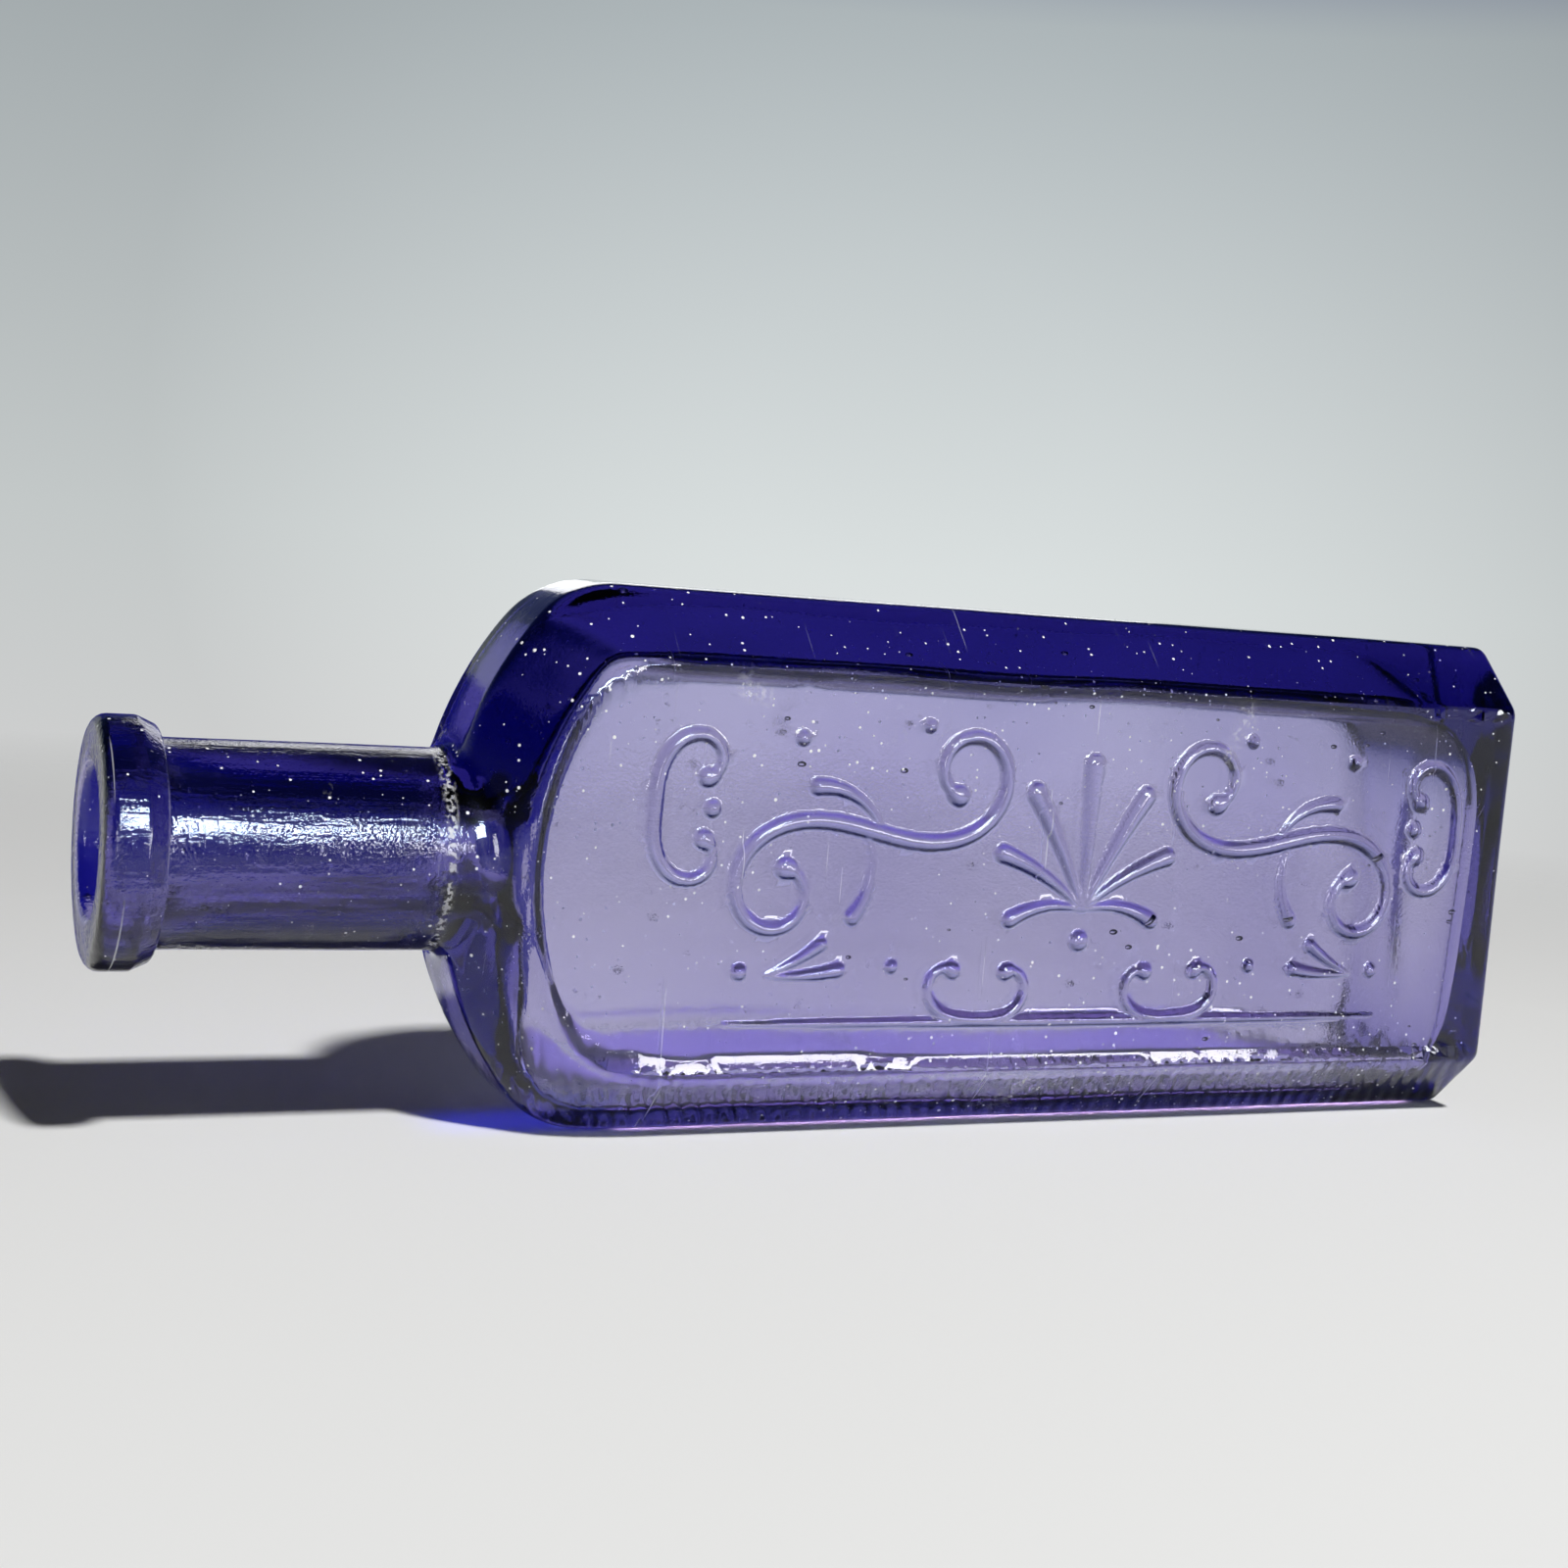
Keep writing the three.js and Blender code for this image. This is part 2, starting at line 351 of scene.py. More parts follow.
def outer_rings():
    section = level_ring(outside, SECTION_HEIGHT, ANGLES)
    base = [(0, share) for share in np.linspace(0.07, 0.84, 11)]
    rim = [(0, share) for share in np.linspace(0.87, 1.0, 7)]
    heel = [(height, 1) for height in np.linspace(0.35, 4, 9)]
    foot = [(height, 1) for height in np.linspace(5, FAN_HEIGHT - 1, 8)]
    rings = fan_rings(outside, FAN_HEIGHT, base + rim + heel + foot, section)
    walls = np.linspace(FAN_HEIGHT, SHOULDER_START, 90)
    shoulder = np.linspace(SHOULDER_START, WALL_HEIGHT, 12)[1:]
    arch = np.linspace(WALL_HEIGHT, NECK_START, 46)[1:]
    neck = np.linspace(NECK_START, LIP_BOTTOM - 1.5, 16)[1:]
    for height in np.concatenate([walls, shoulder, arch, neck]):
        rings.append(level_ring(outside, height, ANGLES))
    return rings


outer = outer_rings()
print(len(outer), "rings outside")

# %% [markdown]
# ## The lip
#
# The lip is a second gather of glass, wound round the end of the neck and pressed with a turning tool: a
# band, a slope below it and a skirt that ends in a crease on the neck. On the real bottle it is fused to the
# neck, with no gap between them, so here both belong to one skin. Its profile is a short row of corners,
# each rounded by its own radius, turned about the axis.

# %% Turn the lip and the mouth
SKIRT_RADIUS = 12.1
BAND_BOTTOM = LIP_BOTTOM + 2
ARC_STEPS = 6
LIP_WOBBLE = 0.09


def rounded_profile(corners):
    """Points of height and radius along a row of corners, each rounded by the radius it gives."""
    points = [np.array(corners[0][:2])]
    for before, corner, after in zip(corners, corners[1:], corners[2:]):
        middle = np.array(corner[:2])
        back = np.array(before[:2]) - middle
        ahead = np.array(after[:2]) - middle
        back = back / np.linalg.norm(back)
        ahead = ahead / np.linalg.norm(ahead)
        half = math.acos(float(np.clip(back @ ahead, -1, 1))) / 2
        bisector = (back + ahead) / np.linalg.norm(back + ahead)
        centre = middle + bisector * corner[2] / math.sin(half)
        first = middle + back * corner[2] / math.tan(half) - centre
        last = middle + ahead * corner[2] / math.tan(half) - centre
        sweep = math.pi - 2 * half
        for step in np.linspace(0, 1, ARC_STEPS):
            mix = math.sin((1 - step) * sweep) * first + math.sin(step * sweep) * last
            points.append(centre + mix / math.sin(sweep))
    points.append(np.array(corners[-1][:2]))
    return points


def lip_rings():
    corners = [
        (LIP_BOTTOM - 1, NECK_RADIUS - SKIN_WAVE, 0),
        (LIP_BOTTOM, NECK_RADIUS - SKIN_WAVE, 0.35),
        (LIP_BOTTOM, SKIRT_RADIUS, 0.55),
        (BAND_BOTTOM, LIP_RADIUS - LIP_WOBBLE, 1.2),
        (HEIGHT, LIP_RADIUS - LIP_WOBBLE, 1.4),
        (HEIGHT, BORE_RADIUS, 1.0),
        (HEIGHT - 5, BORE_RADIUS, 0),
    ]
    wobble = LIP_WOBBLE * (np.cos(2 * ANGLES + 0.8) + np.cos(3 * ANGLES + 2.1)) / 2
    rings = []
    for height, radius in rounded_profile(corners):
        swing = wobble * np.clip((radius - NECK_RADIUS) / (LIP_RADIUS - NECK_RADIUS), 0, 1)
        reach = radius + swing
        level = np.full_like(ANGLES, height)
        rings.append(np.stack([level, reach * np.cos(ANGLES), reach * np.sin(ANGLES)], -1))
    return rings


lip = lip_rings()
print(len(lip), "rings over the lip")

# %% [markdown]
# ## Rings of the inside
#
# The same directions go down the bore, out under the shoulder and down to the floor of the hollow.

# %% Stack the inner rings
INNER_FAN_HEIGHT = 22


def inner_rings():
    section = level_ring(inside, SECTION_HEIGHT, ANGLES)
    bore = np.linspace(HEIGHT - 7, 141, 12)
    opening = np.linspace(141, 117, 30)[1:]
    walls = np.linspace(117, INNER_FAN_HEIGHT, 40)[1:]
    rings = [level_ring(inside, height, ANGLES) for height in np.concatenate([bore, opening, walls])]
    corner = [(height, 1) for height in np.linspace(20, 6.5, 10)]
    floor = [(BASE_GLASS, share) for share in np.linspace(0.95, 0.08, 12)]
    return rings + fan_rings(inside, INNER_FAN_HEIGHT, corner + floor, section)


inner = inner_rings()
print(len(inner), "rings inside")

# %% [markdown]
# ## One closed skin
#
# The rings are joined in order, from the middle of the base up the outside, over the lip and down to the
# middle of the hollow's floor. A single point closes each end.

# %% Join the rings
def to_frame(points):
    """Turns height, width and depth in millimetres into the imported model's frame."""
    along = cad_high.x - points[..., 0] * MM
    up = (points[..., 1] + WIDTH / 2) * MM
    return np.stack([along, points[..., 2] * MM, up], -1)


def join_rings(rings):
    bottom = walk_out(outside, FAN_HEIGHT, np.array([[-1.0, 0, 0]]))
    floor = walk_out(inside, INNER_FAN_HEIGHT, np.array([[-1.0, 0, 0]]))
    points = np.concatenate([bottom, *rings, floor])
    last = len(points) - 1
    faces = []
    for ring in range(len(rings) - 1):
        low = 1 + ring * COLUMNS
        for column in range(COLUMNS):
            beside = (column + 1) % COLUMNS
            faces.append((low + column, low + beside, low + COLUMNS + beside, low + COLUMNS + column))
    top = 1 + (len(rings) - 1) * COLUMNS
    for column in range(COLUMNS):
        beside = (column + 1) % COLUMNS
        faces.append((0, 1 + beside, 1 + column))
        faces.append((last, top + column, top + beside))
    mesh = bpy.data.meshes.new("glass_bottle")
    mesh.from_pydata(to_frame(points).tolist(), [], faces)
    return mesh


glass_mesh = join_rings(outer + lip + inner)
print(len(glass_mesh.vertices), "points,", len(glass_mesh.polygons), "faces")

# %% [markdown]
# ## The embossed ornament
#
# The mould was cut with a design, which stands up from the panel as rounded ridges. Here it is a plain
# scroll ornament of the kind that mould makers cut for anyone: a fan of petals between scrolls, over a
# swelling rule. A scroll is drawn as a line whose bend grows evenly towards both ends, which winds it up by
# itself. Each line is a row of round touches, and the ridge is as high as the nearest touch makes it.

# %% Draw the ornament
ORNAMENT_HEIGHT = 62
ORNAMENT_MIDDLE = 2.2
TOUCH_GAP = 0.25
STROKE = 0.66


def scroll(middle, tilt, length, windings, hand, thickness):
    """A line that winds up at both ends: an S with hand 1 or -1, or a C with hand 0."""
    way = np.linspace(-1, 1, int(length / TOUCH_GAP))
    bend = way * np.abs(way) if hand == 0 else hand * way ** 2
    heading = 2 * math.pi * windings * bend
    step = np.stack([np.cos(heading), np.sin(heading)], -1) * length / len(way)
    line = np.cumsum(step, axis=0)
    line = line - (line[0] + line[-1]) / 2
    turn = math.radians(tilt)
    across = line[:, 0] * math.cos(turn) - line[:, 1] * math.sin(turn)
    up = line[:, 0] * math.sin(turn) + line[:, 1] * math.cos(turn)
    swell = thickness * (0.62 + 0.38 * np.cos(way * math.pi / 2))
    ends = thickness * 1.25 * np.exp(-((1 - np.abs(way)) * length / thickness / 2.2) ** 2)
    return np.stack([across + middle[0], up + middle[1], np.maximum(swell, ends)], -1)


def petal(root, tilt, length, bend, thickness):
    """A bent tongue that swells from its root to a round tip."""
    way = np.linspace(0, 1, int(length / TOUCH_GAP))
    heading = np.radians(tilt + bend * way)
    step = np.stack([np.cos(heading), np.sin(heading)], -1) * length / len(way)
    line = np.cumsum(step, axis=0) + np.array(root)
    return np.column_stack([line, thickness * (0.3 + 0.7 * way)])


def rule_line(half_length, level, thickness):
    way = np.linspace(-1, 1, int(2 * half_length / TOUCH_GAP))
    swell = thickness * (0.35 + 0.65 * (1 - way ** 2))
    return np.stack([way * half_length, np.full_like(way, level), swell], -1)


def bead(across, up, radius):
    return np.array([[across, up, radius]])


def mirrored(stroke):
    return stroke * np.array([-1, 1, 1])


def ornament():
    fan = (0, -6)
    strokes = [petal(fan, 90, 17, 0, 2.1), bead(0, -9.6, 1.9), rule_line(44, -19, 1.0)]
    one_side = [
        petal(fan, 66, 15.5, -10, 1.9),
        petal(fan, 42, 13, -24, 1.7),
        petal(fan, 16, 10, -46, 1.5),
        scroll((28, 2.6), 13, 76, 1.0, -1, 1.5),
        petal((27, 2.8), 62, 10, -66, 1.5),
        petal((29, 2.4), -118, 10, 66, 1.5),
        scroll((48.4, 4.6), 92, 34, 0.7, 0, 1.35),
        bead(47.6, 4.6, 1.5),
        scroll((13, -13.2), 2, 25, 0.58, 0, 1.2),
        petal((40, -13.6), 184, 9, -16, 1.3),
        petal((40, -13.6), 160, 7.5, -16, 1.2),
        bead(43, -13.2, 1.4),
        bead(24.4, -12.6, 1.2),
        bead(22, 14.6, 1.2),
        bead(37.5, 12.6, 1.3),
    ]
    for stroke in one_side:
        strokes.append(stroke)
        strokes.append(mirrored(stroke))
    return np.concatenate(strokes) * np.array([1, 1, STROKE])


TOUCHES = ornament()
print(len(TOUCHES), "touches, reaching", np.abs(TOUCHES[:, :2]).max(axis=0).round(1), "mm from the middle")

# %% [markdown]
# ## Raising the ornament
#
# The panel's own faces are too large for a ridge two millimetres wide. Only the faces near the ornament are
# divided, and then their points are pushed out. The panel lies below its rim by the ridge's height, so the
# ridges stay within the bottle's true depth.

# %% Divide the panel and push out the ridges
DIVISIONS = 3
NEARBY = 0.5
PANEL_REACH = 0.3
AT_ONCE = 2000


def ridge(across, up, margin=0.0):
    """How high the ornament stands at places on the panel, as a share of its full height."""
    height = np.zeros(len(across))
    wide = TOUCHES[:, 2] + margin
    for start in range(0, len(across), AT_ONCE):
        part = slice(start, start + AT_ONCE)
        gap = np.hypot(across[part, None] - TOUCHES[:, 0], up[part, None] - TOUCHES[:, 1])
        share = np.clip(1 - (gap / wide) ** 2, 0, 1) ** 0.6 * np.clip(1.2 * TOUCHES[:, 2], 0.3, 1)
        height[part] = share.max(axis=1)
    return height


def panel_places(coordinates):
    across = (coordinates[:, 0] - cad_high.x) / MM + ORNAMENT_HEIGHT
    up = coordinates[:, 2] / MM - WIDTH / 2 - ORNAMENT_MIDDLE
    return across, up


def on_front_panel(coordinates):
    return coordinates[:, 1] < (PANEL_REACH - FRONT_LEVEL) * MM


def raise_ornament(mesh):
    built = bmesh.new()
    built.from_mesh(mesh)
    bmesh.ops.recalc_face_normals(built, faces=built.faces)
    centres = np.array([face.calc_center_median() for face in built.faces])
    front = np.flatnonzero(on_front_panel(centres))
    near = front[ridge(*panel_places(centres[front]), NEARBY) > 0]
    built.faces.ensure_lookup_table()
    chosen = [built.faces[index] for index in near]
    edges = list(dict.fromkeys(edge for face in chosen for edge in face.edges))
    bmesh.ops.subdivide_edges(built, edges=edges, cuts=DIVISIONS, use_grid_fill=True)
    points = np.array([vertex.co for vertex in built.verts])
    front = np.flatnonzero(on_front_panel(points))
    lift = RELIEF * MM * ridge(*panel_places(points[front]))
    built.verts.ensure_lookup_table()
    for index, amount in zip(front, lift):
        built.verts[index].co.y -= amount
    built.to_mesh(mesh)
    built.free()
    return len(chosen)


print(raise_ornament(glass_mesh), "panel faces divided,", len(glass_mesh.polygons), "faces now")

# %% [markdown]
# ## The glass
#
# Cobalt glass has no paint: its colour is light that is lost on the way through. A thin wall looks lilac and
# a thick edge navy, which a coloured surface could never show, so the surface is clear and a volume takes
# the light away. Small helpers come first, because every finish below is a field of numbers over the
# bottle's own coordinates, in metres.

# %% Helpers for fields over the surface
def add_node(tree, kind, **inputs):
    node = tree.nodes.new(kind)
    for name, value in inputs.items():
        node.inputs[name.replace("_", " ")].default_value = value
    return node


def noise(tree, place, scale, detail):
    node = add_node(tree, "ShaderNodeTexNoise", Scale=scale, Detail=detail)
    tree.links.new(place, node.inputs["Vector"])
    return node.outputs["Fac"]


def spread(tree, value, low, high, out_low, out_high):
    node = add_node(tree, "ShaderNodeMapRange", From_Min=low, From_Max=high, To_Min=out_low, To_Max=out_high)
    tree.links.new(value, node.inputs["Value"])
    return node.outputs["Result"]


def combine(tree, operation, one, other):
    node = tree.nodes.new("ShaderNodeMath")
    node.operation = operation
    for socket, value in zip(node.inputs, (one, other)):
        if isinstance(value, (int, float)):
            socket.default_value = value
        else:
            tree.links.new(value, socket)
    return node.outputs["Value"]


def stretched(tree, place, turn, scale):
    """The same coordinates, turned about two axes and pulled out, so that a noise on them makes lines."""
    node = tree.nodes.new("ShaderNodeMapping")
    node.inputs["Rotation"].default_value = (0, math.radians(turn[0]), math.radians(turn[1]))
    node.inputs["Scale"].default_value = scale
    tree.links.new(place, node.inputs["Vector"])
    return node.outputs["Vector"]


# %% [markdown]
# ## Ripples
#
# The cold mould left a slow ripple all over, fine pits that break up a highlight, and close ribs across the
# lower bevel, where the glass slid before it set. On the neck and the lip, which were worked by hand, the
# pits are deeper and fine lines run along the glass. All of these are far too shallow to show in the
# outline, so they are heights in millimetres that tilt the surface.

# %% Raise the ripples
RIPPLE, RIPPLE_SCALE = 0.05, 160
PITS, PIT_SCALE = 0.012, 2600
NECK_PITS = 0.05
STRIAE, STRIAE_TURN = 0.1, 14
STRIAE_SCALE = (90, 1100, 1100)
RIBS, RIB_TURN = 0.11, 25
RIB_SCALE = 2 * math.pi / (20 * 1.9 * MM)
RIB_TOP = (6.5 * MM, 8.5 * MM)
NECK_FOOT_PLACE = cad_high.x - 137.3 * MM


def ripples(tree, place, axes):
    along, up = axes.outputs["X"], axes.outputs["Z"]
    slow = combine(tree, "MULTIPLY", noise(tree, place, RIPPLE_SCALE, 2), RIPPLE)
    deep = spread(tree, along, NECK_FOOT_PLACE + 2 * MM, NECK_FOOT_PLACE - 2 * MM, PITS, NECK_PITS)
    pits = combine(tree, "MULTIPLY", noise(tree, place, PIT_SCALE, 2), deep)
    ribs = add_node(tree, "ShaderNodeTexWave", Scale=RIB_SCALE, Distortion=2.5, Detail=2, Detail_Scale=1.2)
    tree.links.new(stretched(tree, place, (0, RIB_TURN), (1, 1, 1)), ribs.inputs["Vector"])
    ribbed = combine(tree, "MULTIPLY", ribs.outputs["Fac"], spread(tree, up, *RIB_TOP, RIBS, 0))
    on_neck = spread(tree, along, NECK_FOOT_PLACE, NECK_FOOT_PLACE - 4 * MM, 0, STRIAE)
    lines = noise(tree, stretched(tree, place, (STRIAE_TURN, 0), STRIAE_SCALE), 1, 2)
    fine = combine(tree, "ADD", pits, combine(tree, "MULTIPLY", lines, on_neck))
    return combine(tree, "ADD", combine(tree, "ADD", slow, fine), ribbed)


# %% [markdown]
# ## Wear, and a pale ring
#
# A century of handling leaves pale dust, rubs on the panel, and hair-fine scratches: round the neck, where it
# was turned and wiped, and aslant on the panel. A pale, broken ring also runs where the neck meets the
# shoulder.
# All of them stop light from passing, so they lower the transmission and leave white.

# %% Lay on the wear and the pale ring
DUST_CELLS = 1050
DUST_RADIUS = 0.22
PALE_RING_REACH = 0.9 * MM
NECK_SCRATCHES = (2300, 26, 26)
PANEL_SCRATCHES = (2600, 60, 42)


def dust(tree, place):
    cells = add_node(tree, "ShaderNodeTexVoronoi", Scale=DUST_CELLS)
    tree.links.new(place, cells.inputs["Vector"])
    shade = tree.nodes.new("ShaderNodeSeparateColor")
    tree.links.new(cells.outputs["Color"], shade.inputs["Color"])
    radius = spread(tree, shade.outputs["Red"], 0.45, 1, 0, DUST_RADIUS)
    settled = spread(tree, noise(tree, place, 45, 2), 0.35, 0.6, 0.4, 1)
    return combine(tree, "LESS_THAN", cells.outputs["Distance"], combine(tree, "MULTIPLY", radius, settled))


def pale_ring_and_rubs(tree, place, axes):
    # A pale, broken ring where the neck meets the shoulder, and rubs all over.
    away = combine(tree, "ABSOLUTE", combine(tree, "SUBTRACT", axes.outputs["X"], NECK_FOOT_PLACE), 0)
    ring = spread(tree, away, 0, PALE_RING_REACH, 0.6, 0)
    rubs = spread(tree, noise(tree, place, 75, 3), 0.67, 0.76, 0, 0.5)
    grain = spread(tree, noise(tree, place, 1900, 5), 0.47, 0.6, 0, 1)
    return combine(tree, "MULTIPLY", combine(tree, "MAXIMUM", ring, rubs), grain)


def hair_lines(tree, place, turn, scale, rare, strength):
    """Thin pale lines: the highest parts of a noise that is pulled out into streaks."""
    streaks = noise(tree, stretched(tree, place, (turn, 0), scale), 1, 1)
    return spread(tree, streaks, rare, rare + 0.04, 0, strength)


def scratches(tree, place, axes):
    on_neck = spread(tree, axes.outputs["X"], NECK_FOOT_PLACE, NECK_FOOT_PLACE - 2 * MM, 0, 1)
    round_neck = hair_lines(tree, place, 0, NECK_SCRATCHES, 0.74, 0.45)
    aslant = hair_lines(tree, place, 38, PANEL_SCRATCHES, 0.76, 0.3)
    return combine(tree, "MAXIMUM", combine(tree, "MULTIPLY", on_neck, round_neck), aslant)


# %% [markdown]
# ## Putting the glass together
#
# The clear surface, its ripples, its wear and the coloured volume meet in one material. A thin rough coat
# stands for the film that old glass has: it lays a soft glow round each highlight, while the view through
# the glass stays sharp.

# %% Make the glass material
GLASS_IOR = 1.52
GLASS_TINT = (0.15, 0.07, 0.68)
GLASS_DENSITY = 200
GLOSS = (0.012, 0.05)
FILM = 0.15
FILM_ROUGHNESS = 0.3


def cobalt_glass():
    material = bpy.data.materials.new("cobalt_glass")
    material.use_nodes = True
    tree = material.node_tree
    shader = tree.nodes["Principled BSDF"]
    shader.inputs["Base Color"].default_value = (1, 1, 1, 1)
    shader.inputs["IOR"].default_value = GLASS_IOR
    shader.inputs["Coat Weight"].default_value = FILM
    shader.inputs["Coat Roughness"].default_value = FILM_ROUGHNESS
    place = tree.nodes.new("ShaderNodeTexCoord").outputs["Object"]
    axes = tree.nodes.new("ShaderNodeSeparateXYZ")
    tree.links.new(place, axes.inputs["Vector"])
    wear = combine(tree, "MAXIMUM", pale_ring_and_rubs(tree, place, axes), scratches(tree, place, axes))
    wear = combine(tree, "MAXIMUM", wear, dust(tree, place))
    tree.links.new(spread(tree, wear, 0, 1, 1, 0.1), shader.inputs["Transmission Weight"])
    rough = spread(tree, noise(tree, place, 900, 5), 0.55, 0.75, *GLOSS)
    tree.links.new(combine(tree, "MAXIMUM", rough, wear), shader.inputs["Roughness"])
    bump = add_node(tree, "ShaderNodeBump", Strength=1, Distance=MM)
    tree.links.new(ripples(tree, place, axes), bump.inputs["Height"])
    tree.links.new(bump.outputs["Normal"], shader.inputs["Normal"])
    volume = add_node(tree, "ShaderNodeVolumeAbsorption", Density=GLASS_DENSITY)
    volume.inputs["Color"].default_value = (*GLASS_TINT, 1)
    tree.links.new(volume.outputs["Volume"], tree.nodes["Material Output"].inputs["Volume"])
    return material


glass = cobalt_glass()
print("glass material with", len(glass.node_tree.nodes), "nodes")

# %% [markdown]
# ## Bubbles in the glass
#
# Hand-gathered glass is full of seeds, small bubbles drawn out along the bottle. They could be painted, but
# a real hollow bends light as a bubble does. Geometry Nodes scatter points over the skin, sink them into the
# wall and set a little ball on each, turned inside out because a bubble's skin faces its air.

# %% Build the bubble tree
BUBBLE_INPUTS = (
    ("Density", "NodeSocketFloat", 1900.0),
    ("Depth", "NodeSocketFloat", 1.2 * MM),
    ("Smallest", "NodeSocketFloat", 0.1 * MM),
    ("Largest", "NodeSocketFloat", 0.36 * MM),
    ("Stretch", "NodeSocketFloat", 1.7),
    ("Seed", "NodeSocketInt", 7),
    ("Glass", "NodeSocketMaterial", None),
)


def bubble_tree():
    tree = bpy.data.node_groups.new("bubbles", "GeometryNodeTree")
    tree.interface.new_socket("Geometry", in_out="INPUT", socket_type="NodeSocketGeometry")
    tree.interface.new_socket("Geometry", in_out="OUTPUT", socket_type="NodeSocketGeometry")
    for name, kind, _ in BUBBLE_INPUTS:
        tree.interface.new_socket(name, in_out="INPUT", socket_type=kind)
    given = tree.nodes.new("NodeGroupInput").outputs
    link = tree.links.new
    points = tree.nodes.new("GeometryNodeDistributePointsOnFaces")
    link(given["Geometry"], points.inputs["Mesh"])
    link(given["Density"], points.inputs["Density"])
    link(given["Seed"], points.inputs["Seed"])
    inward = tree.nodes.new("ShaderNodeMath")
    inward.operation = "MULTIPLY"
    inward.inputs[1].default_value = -1
    link(given["Depth"], inward.inputs[0])
    offset = tree.nodes.new("ShaderNodeVectorMath")
    offset.operation = "SCALE"
    link(points.outputs["Normal"], offset.inputs["Vector"])
    link(inward.outputs["Value"], offset.inputs["Scale"])
    lowered = tree.nodes.new("GeometryNodeSetPosition")
    link(points.outputs["Points"], lowered.inputs["Geometry"])
    link(offset.outputs["Vector"], lowered.inputs["Offset"])
    size = tree.nodes.new("FunctionNodeRandomValue")
    link(given["Smallest"], size.inputs[2])
    link(given["Largest"], size.inputs[3])
    link(given["Seed"], size.inputs["Seed"])
    length = tree.nodes.new("ShaderNodeMath")
    length.operation = "MULTIPLY"
    link(size.outputs[1], length.inputs[0])
    link(given["Stretch"], length.inputs[1])
    scale = tree.nodes.new("ShaderNodeCombineXYZ")
    link(length.outputs["Value"], scale.inputs["X"])
    link(size.outputs[1], scale.inputs["Y"])
    link(size.outputs[1], scale.inputs["Z"])
    ball = tree.nodes.new("GeometryNodeMeshIcoSphere")
    ball.inputs["Subdivisions"].default_value = 2
    hollow = tree.nodes.new("GeometryNodeFlipFaces")
    link(ball.outputs["Mesh"], hollow.inputs["Mesh"])
    placed = tree.nodes.new("GeometryNodeInstanceOnPoints")
    link(lowered.outputs["Geometry"], placed.inputs["Points"])
    link(hollow.outputs["Mesh"], placed.inputs["Instance"])
    link(scale.outputs["Vector"], placed.inputs["Scale"])
    joined = tree.nodes.new("GeometryNodeJoinGeometry")
    link(placed.outputs["Instances"], joined.inputs["Geometry"])
    link(given["Geometry"], joined.inputs["Geometry"])
    real = tree.nodes.new("GeometryNodeRealizeInstances")
    link(joined.outputs["Geometry"], real.inputs["Geometry"])
    coated = tree.nodes.new("GeometryNodeSetMaterial")
    link(real.outputs["Geometry"], coated.inputs["Geometry"])
    link(given["Glass"], coated.inputs["Material"])
    link(coated.outputs["Geometry"], tree.nodes.new("NodeGroupOutput").inputs["Geometry"])
    return tree


# %% Put the bubbles in
def with_bubbles(mesh):
    holder = bpy.data.objects.new("bubble_holder", mesh)
    bpy.context.scene.collection.objects.link(holder)
    modifier = holder.modifiers.new("bubbles", "NODES")
    modifier.node_group = bubble_tree()
    for socket in modifier.node_group.interface.items_tree:
        for name, _, value in BUBBLE_INPUTS:
            if socket.in_out == "INPUT" and socket.name == name:
                modifier[socket.identifier] = glass if value is None else value
    seen = holder.evaluated_get(bpy.context.evaluated_depsgraph_get())
    plain = bpy.data.meshes.new_from_object(seen)
    bpy.data.objects.remove(holder)
    return plain


plain_faces = len(glass_mesh.polygons)
glass_mesh = with_bubbles(glass_mesh)
BUBBLE_FACES = 80
print((len(glass_mesh.polygons) - plain_faces) // BUBBLE_FACES, "bubbles in the glass")

# %% [markdown]
# ## The finished bottle
#
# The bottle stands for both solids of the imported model, the blown body and the lip, because in the real one
# they have melted together.

# %% Finish the bottle
glass_mesh.shade_smooth()
bottle = bpy.data.objects.new("glass_bottle", glass_mesh)
bpy.context.scene.collection.objects.link(bottle)
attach(bottle, "root")
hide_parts("bottle_body", "applied_lip")
print(bottle.name, "has", len(glass_mesh.polygons), "faces")

# %% [markdown]
# ## The floor
#
# A plain pale floor carries the shadow. Away from the bottle it fades out, so that it meets the background
# without a line. It has no shine, because some lamps below are there for the glass alone.

# %% Lay the floor
FLOOR_RADIUS = 0.7
FLOOR_FADE = (0.16, 0.42)
FLOOR_COLOUR = (0.78, 0.78, 0.77, 1)


def floor_material():
    material = bpy.data.materials.new("pale_floor")
    material.use_nodes = True
    tree = material.node_tree
    shader = tree.nodes["Principled BSDF"]
    shader.inputs["Base Color"].default_value = FLOOR_COLOUR
    shader.inputs["Roughness"].default_value = 1
    shader.inputs["Specular IOR Level"].default_value = 0
    place = tree.nodes.new("ShaderNodeTexCoord").outputs["Object"]
    distance = tree.nodes.new("ShaderNodeVectorMath")
    distance.operation = "LENGTH"
    tree.links.new(place, distance.inputs[0])
    fade = spread(tree, distance.outputs["Value"], *FLOOR_FADE, 0, 1)
    clear = tree.nodes.new("ShaderNodeBsdfTransparent")
    mix = tree.nodes.new("ShaderNodeMixShader")
    tree.links.new(fade, mix.inputs["Fac"])
    tree.links.new(shader.outputs["BSDF"], mix.inputs[1])
    tree.links.new(clear.outputs["BSDF"], mix.inputs[2])
    tree.links.new(mix.outputs["Shader"], tree.nodes["Material Output"].inputs["Surface"])
    return material


def lay_floor():
    built = bmesh.new()
    bmesh.ops.create_circle(built, cap_ends=True, segments=96, radius=FLOOR_RADIUS)
    mesh = bpy.data.meshes.new("floor")
    built.to_mesh(mesh)
    built.free()
    mesh.materials.append(floor_material())
    floor = bpy.data.objects.new("floor", mesh)
    bpy.context.scene.collection.objects.link(floor)
    return floor


